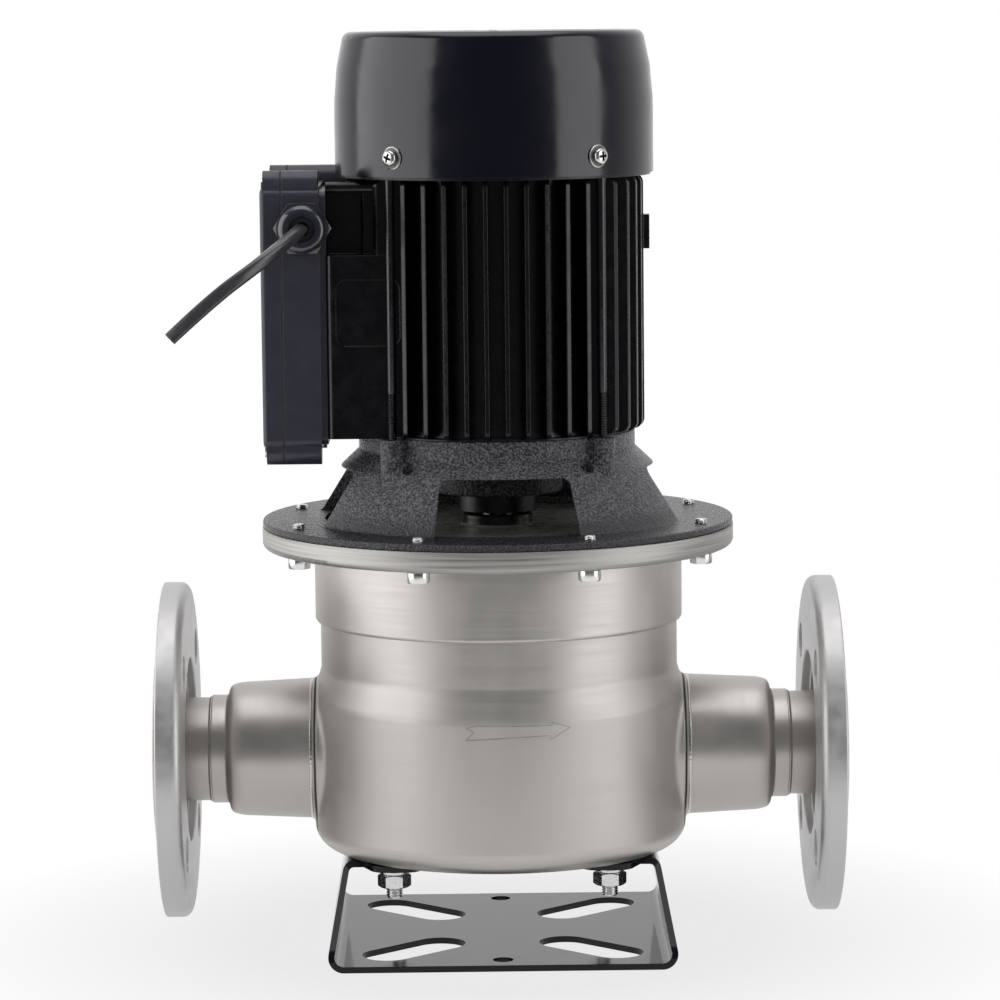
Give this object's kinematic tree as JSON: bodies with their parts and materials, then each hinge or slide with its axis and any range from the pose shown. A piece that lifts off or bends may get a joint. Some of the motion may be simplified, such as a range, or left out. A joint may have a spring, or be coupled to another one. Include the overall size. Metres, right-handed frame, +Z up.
{
  "type": "inline circulation pump",
  "caption": "Vertical inline circulation pump: finned motor on a windowed lantern, pressed steel casing with flanged ports in line, bent sheet foot",
  "frame": {"origin": "point where the pump axis meets the underside of the foot plate", "axes": "+Z up along the pump axis, +X along the pipe line towards the outlet, +Y away from the side with the cable gland"},
  "size_m": [0.336, 0.2306, 0.446],
  "materials": {
    "stainless": "satin, drawn and turned",
    "stainless_inside": "plain mill finish",
    "zinc_screws": "bright zinc",
    "zinc_flange": "turned, bright",
    "black_cast": "rough cast under black paint",
    "black_aluminium": "satin black paint",
    "black_sheet": "satin black paint",
    "black_plastic": "matt black",
    "gland_plastic": "semi-gloss black",
    "black_rubber": "matt black",
    "cable_sheath": "matt dark grey",
    "machined_steel": "turned and ground",
    "electrical_steel": "stacked sheet",
    "copper": "varnished wire",
    "cast_aluminium": "die cast",
    "seal_ceramic": "lapped ceramic",
    "seal_carbon": "carbon",
    "terminal_white": "smooth"
  },
  "bodies": {
    "pump": {"foot_bracket": "black_sheet", "foot_studs": "zinc_screws", "foot_lock_washers": "zinc_screws", "foot_nuts": "zinc_screws", "casing": "stainless", "casing_flange": "stainless", "cover_oring": "black_rubber", "seal_cover": "stainless_inside", "lid_screws": "zinc_screws", "inlet_reducer": "stainless", "outlet_reducer": "stainless", "inlet_neck": "stainless", "outlet_neck": "stainless", "inlet_collar": "stainless", "outlet_collar": "stainless", "suction_bend": "stainless_inside", "wear_ring": "seal_carbon", "seal_seat": "seal_ceramic", "lantern": "black_cast", "lower_bearing_outer": "machined_steel", "upper_bearing_outer": "machined_steel", "motor_housing": "black_aluminium", "stator_core": "electrical_steel", "stator_windings": "copper", "upper_shield": "black_aluminium", "wave_spring": "machined_steel", "tie_rods": "zinc_screws", "fan_cover": "black_sheet", "cover_washers": "zinc_screws", "cover_screws": "zinc_screws", "box_base": "black_plastic", "box_gasket": "black_rubber", "box_cover": "black_plastic", "box_screws": "zinc_screws", "terminal_block": "terminal_white", "capacitor": "cast_aluminium", "gland_body": "gland_plastic", "gland_seal": "black_rubber", "gland_nut": "gland_plastic", "cable": "cable_sheath"},
    "rotor": {"motor_shaft": "machined_steel", "rotor_core": "electrical_steel", "rotor_rings": "cast_aluminium", "lower_bearing_inner": "machined_steel", "lower_bearing_balls": "machined_steel", "upper_bearing_inner": "machined_steel", "upper_bearing_balls": "machined_steel", "fan": "black_plastic", "fan_clip": "machined_steel", "coupling": "machined_steel", "coupling_screws": "zinc_screws", "pump_shaft": "machined_steel", "impeller": "stainless_inside", "impeller_key": "machined_steel", "impeller_nut": "stainless_inside", "seal_head": "seal_carbon", "seal_spring": "machined_steel"},
    "inlet_ring": {"inlet_flange": "zinc_flange"},
    "outlet_ring": {"outlet_flange": "zinc_flange"}
  },
  "joints": [
    {"name": "rotor_spin", "type": "hinge", "parent": "pump", "child": "rotor", "pos_m": [0, 0, 0.095], "axis": [0, 0, 1], "continuous": true},
    {"name": "inlet_ring_turn", "type": "hinge", "parent": "pump", "child": "inlet_ring", "pos_m": [-0.1585, 0, 0.095], "axis": [1, 0, 0], "continuous": true},
    {"name": "outlet_ring_turn", "type": "hinge", "parent": "pump", "child": "outlet_ring", "pos_m": [0.1585, 0, 0.095], "axis": [1, 0, 0], "continuous": true}
  ]
}
